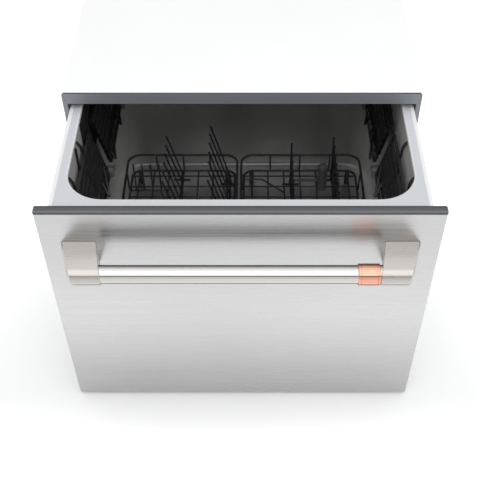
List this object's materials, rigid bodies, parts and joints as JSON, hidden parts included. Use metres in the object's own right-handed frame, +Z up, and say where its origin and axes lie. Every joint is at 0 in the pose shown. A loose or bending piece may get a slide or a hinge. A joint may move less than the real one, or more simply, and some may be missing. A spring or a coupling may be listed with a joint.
{
  "type": "dishwasher drawer",
  "caption": "Single tall dishwasher drawer in its chassis, part open: stainless front with bar handle, steel-lined tub, racks, wash system, lid and runners.",
  "frame": {"origin": "middle of the chassis underside, where it stands on the cabinet shelf", "axes": "+Z up, +Y to the back of the cabinet, the drawer opens towards -Y, +X to the right seen from the front"},
  "size_m": [0.598, 0.9103, 0.479],
  "materials": {
    "white_paint": "smooth near-white pre-painted steel",
    "galvanised": "dull zinc-coated steel",
    "surround_grey": "satin blue-grey",
    "runner_steel": "bright zinc-plated steel",
    "lid_grey": "fine-grained moulded plastic",
    "black_plastic": "moulded black plastic",
    "rubber_black": "soft black rubber",
    "valve_white": "white moulded plastic",
    "stainless": "fine brushed, fingerprint resistant",
    "core_grey": "moulded door core",
    "control_strip": "dark satin control strip",
    "bar_steel": "polished bar",
    "bracket_nickel": "satin nickel, warm",
    "copper": "brushed copper",
    "screw_steel": "zinc-plated",
    "rim_grey": "light cool grey moulding, satin",
    "liner_steel": "brushed stainless liner",
    "shell_grey": "light grey moulded shell",
    "felt": "sound-absorbing felt",
    "sump_black": "glass-filled moulding",
    "motor_dark": "dark painted stator housing",
    "rotor_steel": "turned steel",
    "wheel_white": "white moulded pump wheel",
    "filter_steel": "perforated stainless",
    "filter_grey": "light grey moulding with fine mesh",
    "arm_grey": "grey moulded spray arm",
    "rack_coating": "dark grey nylon-coated wire",
    "tine_coating": "dark grey nylon-coated wire",
    "cup_plastic": "dark grey moulded slats",
    "basket_plastic": "dark grey moulded basket",
    "post_grey": "grey soft-touch sleeve",
    "dispenser_grey": "grey moulding",
    "cap_blue": "translucent blue cap"
  },
  "bodies": {
    "chassis": {"chassis_wrap": "white_paint", "chassis_base": "galvanised", "chassis_back": "galvanised", "chassis_screws": "screw_steel", "surround_top": "surround_grey", "surround_left": "surround_grey", "surround_right": "surround_grey", "runner_left_outer": "runner_steel", "runner_right_outer": "runner_steel", "lid_motors": "black_plastic", "lid_guides": "black_plastic", "water_valve": "valve_white", "drain_spigot": "black_plastic", "mains_inlet": "black_plastic", "control_box": "lid_grey", "link_hose": "rubber_black"},
    "runner_middles": {"runner_middles": "runner_steel"},
    "lid": {"lid_panel": "lid_grey", "lid_seal": "rubber_black", "lid_yokes": "galvanised", "lid_rods": "rotor_steel"},
    "drawer": {"door_skin": "stainless", "door_core": "core_grey", "door_cap": "control_strip", "handle_bar": "bar_steel", "handle_bracket_left": "bracket_nickel", "handle_bracket_right": "bracket_nickel", "handle_ring": "copper", "handle_screws": "screw_steel", "tub_rim": "rim_grey", "tub_liner": "liner_steel", "tub_shell": "shell_grey", "tub_insulation": "felt", "runner_left_inner": "runner_steel", "runner_right_inner": "runner_steel", "sump": "sump_black", "pump_cover": "sump_black", "heater_ring": "rotor_steel", "motor_housing": "motor_dark", "filter_plate": "filter_steel", "rack_left": "rack_coating", "rack_right": "rack_coating", "glass_post": "post_grey", "cup_hinges": "cup_plastic", "dispenser_body": "dispenser_grey"},
    "pump_rotor": {"motor_rotor": "rotor_steel", "pump_wheel": "wheel_white"},
    "drain_filter": {"drain_filter": "filter_grey"},
    "spray_arm": {"spray_arm": "arm_grey"},
    "cutlery_basket": {"cutlery_basket": "basket_plastic"},
    "dispenser_flap": {"dispenser_flap": "dispenser_grey"},
    "rinse_cap": {"rinse_cap": "cap_blue"},
    "tines_left_inner": {"tines_left_inner": "tine_coating"},
    "tines_left_outer": {"tines_left_outer": "tine_coating"},
    "tines_right_inner": {"tines_right_inner": "tine_coating"},
    "tines_right_outer": {"tines_right_outer": "tine_coating"},
    "cup_rack_left_front": {"cup_rack_left_front": "cup_plastic"},
    "cup_rack_left_rear": {"cup_rack_left_rear": "cup_plastic"},
    "cup_rack_right_front": {"cup_rack_right_front": "cup_plastic"},
    "cup_rack_right_rear": {"cup_rack_right_rear": "cup_plastic"}
  },
  "joints": [
    {"name": "drawer_slide", "type": "slide", "parent": "chassis", "child": "drawer", "axis": [0, -1, 0], "range_m": [-0.252, 0.248], "deforming": ["link_hose"]},
    {"name": "runner_slide", "type": "slide", "parent": "chassis", "child": "runner_middles", "axis": [0, -1, 0], "range_m": [-0.126, 0.124]},
    {"name": "lid_lift", "type": "slide", "parent": "chassis", "child": "lid", "axis": [0, 0, 1], "range_m": [-0.01, 0]},
    {"name": "pump_spin", "type": "hinge", "parent": "drawer", "child": "pump_rotor", "pos_m": [0, -0.2685, 0.06], "axis": [0, 0, 1], "continuous": true},
    {"name": "spray_arm_spin", "type": "hinge", "parent": "drawer", "child": "spray_arm", "pos_m": [0, -0.2685, 0.112], "axis": [0, 0, 1], "continuous": true},
    {"name": "drain_filter_turn", "type": "hinge", "parent": "drawer", "child": "drain_filter", "pos_m": [0.058, -0.2905, 0.102], "axis": [0, 0, 1], "range_deg": [0, 90]},
    {"name": "basket_lift", "type": "slide", "parent": "drawer", "child": "cutlery_basket", "axis": [0, 0, 1], "range_m": [0, 0.25]},
    {"name": "flap_hinge", "type": "hinge", "parent": "drawer", "child": "dispenser_flap", "pos_m": [-0.026, -0.485, 0.34], "axis": [-1, 0, 0], "range_deg": [0, 95]},
    {"name": "rinse_cap_turn", "type": "hinge", "parent": "drawer", "child": "rinse_cap", "pos_m": [0.037, -0.488, 0.366], "axis": [0, 1, 0], "range_deg": [0, 90]},
    {"name": "fold_left_inner", "type": "hinge", "parent": "drawer", "child": "tines_left_inner", "pos_m": [-0.028, -0.2185, 0.14], "axis": [0, -1, 0], "range_deg": [0, 66]},
    {"name": "fold_left_outer", "type": "hinge", "parent": "drawer", "child": "tines_left_outer", "pos_m": [-0.128, -0.2185, 0.14], "axis": [0, -1, 0], "range_deg": [0, 73]},
    {"name": "fold_right_inner", "type": "hinge", "parent": "drawer", "child": "tines_right_inner", "pos_m": [0.096, -0.2185, 0.14], "axis": [0, -1, 0], "range_deg": [0, 88]},
    {"name": "fold_right_outer", "type": "hinge", "parent": "drawer", "child": "tines_right_outer", "pos_m": [0.181, -0.2185, 0.14], "axis": [0, -1, 0], "range_deg": [0, 78]},
    {"name": "cup_rack_left_front_hinge", "type": "hinge", "parent": "drawer", "child": "cup_rack_left_front", "pos_m": [-0.2385, -0.368, 0.306], "axis": [0, 1, 0], "range_deg": [0, 100]},
    {"name": "cup_rack_left_rear_hinge", "type": "hinge", "parent": "drawer", "child": "cup_rack_left_rear", "pos_m": [-0.2385, -0.174, 0.306], "axis": [0, 1, 0], "range_deg": [0, 100]},
    {"name": "cup_rack_right_front_hinge", "type": "hinge", "parent": "drawer", "child": "cup_rack_right_front", "pos_m": [0.2385, -0.368, 0.306], "axis": [0, -1, 0], "range_deg": [0, 100]},
    {"name": "cup_rack_right_rear_hinge", "type": "hinge", "parent": "drawer", "child": "cup_rack_right_rear", "pos_m": [0.2385, -0.174, 0.306], "axis": [0, -1, 0], "range_deg": [0, 100]}
  ],
  "couplings": [
    {"joint": "runner_slide", "follows": "drawer_slide", "ratio": 0.5}
  ]
}
